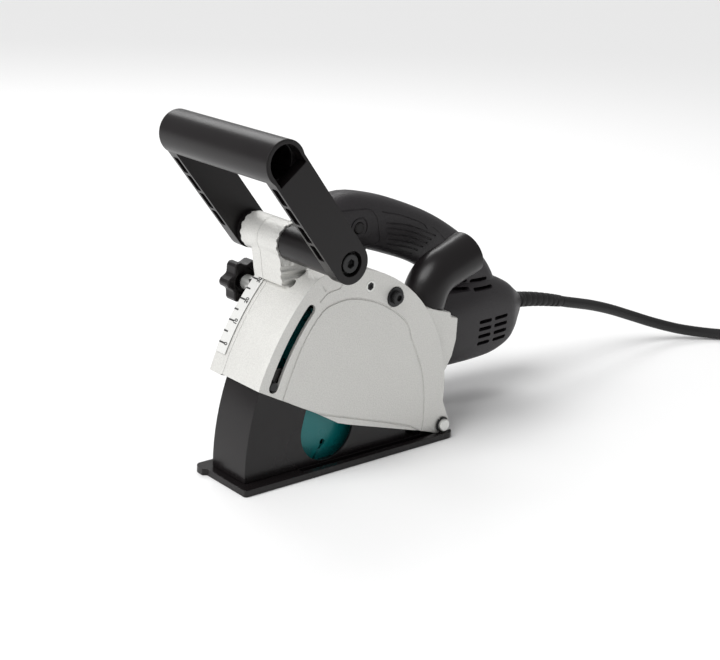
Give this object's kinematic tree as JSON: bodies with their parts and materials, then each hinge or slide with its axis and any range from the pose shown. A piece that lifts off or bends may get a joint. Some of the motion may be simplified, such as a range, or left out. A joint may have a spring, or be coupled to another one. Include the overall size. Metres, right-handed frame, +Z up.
{
  "type": "wall chaser",
  "caption": "Handheld twin-wheel wall chaser with a plunging cast cover on a flat shoe, closed rear handle, stirrup front handle, dust elbow and depth stop.",
  "frame": {"origin": "on the shoe's bottom face, straight below the rear pivot pin, in the guard box's middle plane", "axes": "-X is the cutting direction, +X the cord end, +Y the motor side, +Z up"},
  "size_m": [0.8131, 0.229, 0.2609],
  "materials": {
    "cast_silver": "painted casting",
    "black_coat": "black coated steel",
    "black_plastic": "grained",
    "dark_housing": "grained",
    "steel": "ground",
    "zinc": "zinc plated",
    "black_steel": "blackened",
    "wheel_teal": "painted steel blank",
    "copper": "turned",
    "label_white": "printed label",
    "rubber": "matte"
  },
  "bodies": {
    "base": {"base_plate": "black_coat", "inner_guard": "black_coat", "guard_screw_1": "black_steel", "guard_screw_2": "black_steel", "guide_pin_near": "black_steel", "guide_pin_far": "black_steel", "pivot_pin": "zinc", "pivot_clip": "black_steel", "return_spring": "steel", "cord_coil": "rubber", "plug": "rubber"},
    "head": {"wheel_cover": "cast_silver", "cover_washer": "black_steel", "cover_bolt": "black_steel", "cover_screw": "black_steel", "blade_case": "cast_silver", "scale_plate": "label_white", "gear_housing": "cast_silver", "bearing_cap": "cast_silver", "spindle_bearing": "steel", "needle_bearing": "steel", "front_motor_bearing": "steel", "motor_housing": "dark_housing", "stator": "black_steel", "rear_motor_bearing": "steel", "brush_cap_near": "black_plastic", "brush_cap_far": "black_plastic", "brush_near": "black_steel", "brush_far": "black_steel", "handle_shell_near": "dark_housing", "handle_shell_far": "dark_housing", "handle_screw_1": "black_steel", "handle_screw_2": "black_steel", "handle_screw_3": "black_steel", "switch": "black_plastic", "cord_guard": "rubber", "cord": "rubber"},
    "spindle": {"spindle": "steel", "spindle_gear": "steel", "inner_flange": "black_steel", "spacer_narrow": "zinc", "spacer_wide": "zinc", "wheel_near": "wheel_teal", "wheel_far": "wheel_teal", "lock_nut": "black_steel"},
    "armature": {"armature_shaft": "steel", "armature_core": "black_steel", "commutator": "copper", "cooling_fan": "black_plastic", "pinion": "steel"},
    "front_handle": {"front_handle": "black_plastic", "handle_bolt_near": "black_steel", "handle_bolt_far": "black_steel"},
    "dust_nozzle": {"dust_nozzle": "black_plastic"},
    "depth_stop": {"stop_stud": "zinc", "stop_pointer": "black_plastic"},
    "depth_knob": {"depth_knob": "black_plastic"},
    "trigger": {"trigger": "black_plastic"},
    "lock_off_button": {"lock_off_button": "black_plastic"},
    "shaft_lock_button": {"shaft_lock_button": "black_plastic"}
  },
  "joints": [
    {"name": "plunge", "type": "hinge", "parent": "base", "child": "head", "pos_m": [0, 0, 0.0105], "axis": [0, -1, 0], "range_deg": [0, 16.3], "stiffness_Nm_per_rad": 9, "springref_deg": -42.97},
    {"name": "spindle_spin", "type": "hinge", "parent": "head", "child": "spindle", "pos_m": [-0.1051, 0, 0.0641], "axis": [0, 1, 0], "continuous": true},
    {"name": "armature_spin", "type": "hinge", "parent": "head", "child": "armature", "pos_m": [0, 0.0515, 0.0641], "axis": [1, 0, 0], "continuous": true},
    {"name": "front_handle_tilt", "type": "hinge", "parent": "head", "child": "front_handle", "pos_m": [-0.143, 0, 0.172], "axis": [0, 1, 0], "range_deg": [-40, 60]},
    {"name": "nozzle_swivel", "type": "hinge", "parent": "head", "child": "dust_nozzle", "pos_m": [-0.0086, 0, 0.1054], "axis": [0.29, 0, 0.957], "range_deg": [-70, 25]},
    {"name": "depth_set", "type": "hinge", "parent": "head", "child": "depth_stop", "pos_m": [0, 0, 0.0105], "axis": [0, -1, 0], "range_deg": [0, 15.2]},
    {"name": "knob_turn", "type": "hinge", "parent": "depth_stop", "child": "depth_knob", "pos_m": [-0.1421, 0.05, 0.12974], "axis": [0, 1, 0], "range_deg": [0, 180]},
    {"name": "trigger_press", "type": "hinge", "parent": "head", "child": "trigger", "pos_m": [-0.077, 0.0515, 0.151], "axis": [0, -1, 0], "range_deg": [0, 4], "stiffness_Nm_per_rad": 1, "springref_deg": -6.88},
    {"name": "lock_off_press", "type": "slide", "parent": "head", "child": "lock_off_button", "axis": [0, 1, 0], "range_m": [0, 0.0014], "stiffness_N_per_m": 400, "springref_m": -0.002},
    {"name": "shaft_lock_press", "type": "slide", "parent": "head", "child": "shaft_lock_button", "axis": [0, -1, 0], "range_m": [0, 0.003], "stiffness_N_per_m": 400, "springref_m": -0.003}
  ],
  "couplings": [
    {"joint": "armature_spin", "follows": "spindle_spin", "ratio": -3.3636}
  ]
}
